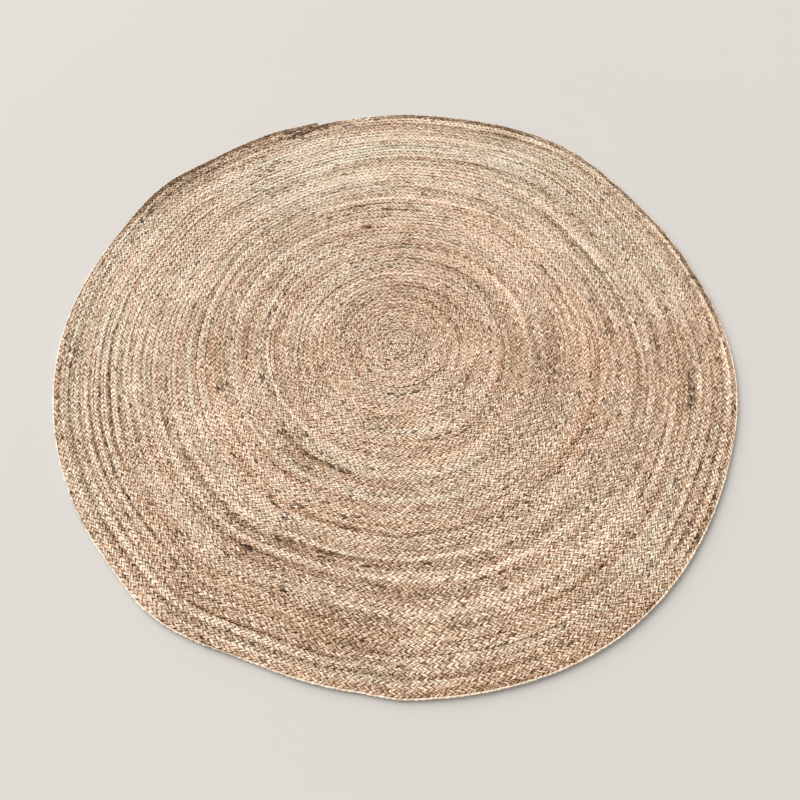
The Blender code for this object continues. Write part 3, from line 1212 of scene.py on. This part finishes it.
class RUG_OT_rim(bpy.types.Operator):
    """Make the last turn of the band, whose outer edge is the rug's rim, to its free end"""

    bl_idname = "rug.rim"
    bl_label = "Last Turn"

    def execute(self, context):
        plaits = both_plaits(context.scene)
        finishes = rug_finishes(context.scene)
        braid_object("braid_last_turn", plaits, LAST_TURN - 1.0, LAST_TURN + 1.0, finishes, rim=True)
        return {"FINISHED"}


# The stage. The camera looks at a spot on the floor that lies this far from the coil's middle
FLOOR_SIZE = 14.0
FLOOR_DROP = 0.0003
LOOK_OFFSET = (0.0043, -0.1075)
LAMP_AZIMUTH_DEG = 144.0
LAMP_ELEVATION_DEG = 30.0
LAMP_SPREAD_DEG = 60.0
LAMP_COLOR = (1.0, 0.985, 0.96)
SKY_COLOR = (1.0, 0.975, 0.94, 1.0)
SENSOR_WIDTH = 36.0


class RUG_OT_stage(bpy.types.Operator):
    """Make the pale floor, the soft light and the camera"""

    bl_idname = "rug.stage"
    bl_label = "Stage"

    def execute(self, context):
        scene = context.scene
        settings = scene.jute_stage
        half = FLOOR_SIZE / 2.0
        corners = [(-half, -half), (half, -half), (half, half), (-half, half)]
        data = bpy.data.meshes.new("floor")
        data.from_pydata([(x, y, -FLOOR_DROP) for x, y in corners], [], [(0, 1, 2, 3)])
        data.materials.append(floor_material(settings))
        place_object("floor", data)

        centre = coil_centre()
        target = Vector((centre[0] + LOOK_OFFSET[0], centre[1] + LOOK_OFFSET[1], 0.0))
        azimuth, elevation = math.radians(LAMP_AZIMUTH_DEG), math.radians(LAMP_ELEVATION_DEG)
        flat = math.cos(elevation)
        way = Vector((flat * math.cos(azimuth), flat * math.sin(azimuth), math.sin(elevation)))
        lamp = bpy.data.lights.new("soft_lamp", "SUN")
        lamp.angle = math.radians(LAMP_SPREAD_DEG)
        lamp.energy = settings.lamp_strength
        lamp.color = LAMP_COLOR
        place_object("soft_lamp", lamp).rotation_euler = way.to_track_quat("Z", "Y").to_euler()

        world = bpy.data.worlds.new("studio")
        world.use_nodes = True
        sky = world.node_tree.nodes["Background"]
        sky.inputs["Color"].default_value = SKY_COLOR
        sky.inputs["Strength"].default_value = settings.sky_strength
        scene.world = world

        data = bpy.data.cameras.new("camera")
        data.sensor_width = SENSOR_WIDTH
        data.lens = settings.lens
        camera = place_object("camera", data)
        back = Vector((0.0, -math.cos(settings.elevation), math.sin(settings.elevation)))
        turn = (-back).to_track_quat("-Z", "Y").to_matrix().to_4x4() @ Matrix.Rotation(settings.roll, 4, "Z")
        camera.matrix_world = Matrix.Translation(target + back * settings.distance) @ turn
        scene.camera = camera
        scene.view_settings.view_transform = "Standard"
        return {"FINISHED"}


class RUG_PT_rug(bpy.types.Panel):
    """The rug's settings and its pieces"""

    bl_idname = "RUG_PT_rug"
    bl_label = "Jute Rug"
    bl_space_type = "VIEW_3D"
    bl_region_type = "UI"
    bl_category = "Jute Rug"

    def draw(self, context):
        for title, settings in (
            ("Braid", context.scene.jute_braid),
            ("Colours", context.scene.jute_colours),
            ("Stage", context.scene.jute_stage),
        ):
            box = self.layout.box()
            box.label(text=title)
            for name in settings.bl_rna.properties.keys():
                if name not in ("rna_type", "name"):
                    box.prop(settings, name)
        for operator in OPERATORS:
            self.layout.operator(operator.bl_idname)


GROUPS = (
    ("jute_braid", JuteBraidSettings),
    ("jute_colours", JuteColourSettings),
    ("jute_stage", StageSettings),
)
OPERATORS = (RUG_OT_coil, RUG_OT_rim, RUG_OT_stage)


def register():
    """Makes the settings, operators and panel known."""
    for name, group in GROUPS:
        bpy.utils.register_class(group)
        setattr(bpy.types.Scene, name, bpy.props.PointerProperty(type=group))
    for made in (*OPERATORS, RUG_PT_rug):
        bpy.utils.register_class(made)


def unregister():
    """Takes them away again, the last one first."""
    for made in (RUG_PT_rug, *reversed(OPERATORS)):
        bpy.utils.unregister_class(made)
    for name, group in reversed(GROUPS):
        delattr(bpy.types.Scene, name)
        bpy.utils.unregister_class(group)


def main():
    """Makes the rug and its stage."""
    register()
    bpy.ops.rug.coil()
    bpy.ops.rug.rim()
    bpy.ops.rug.stage()


if __name__ == "__main__":
    main()
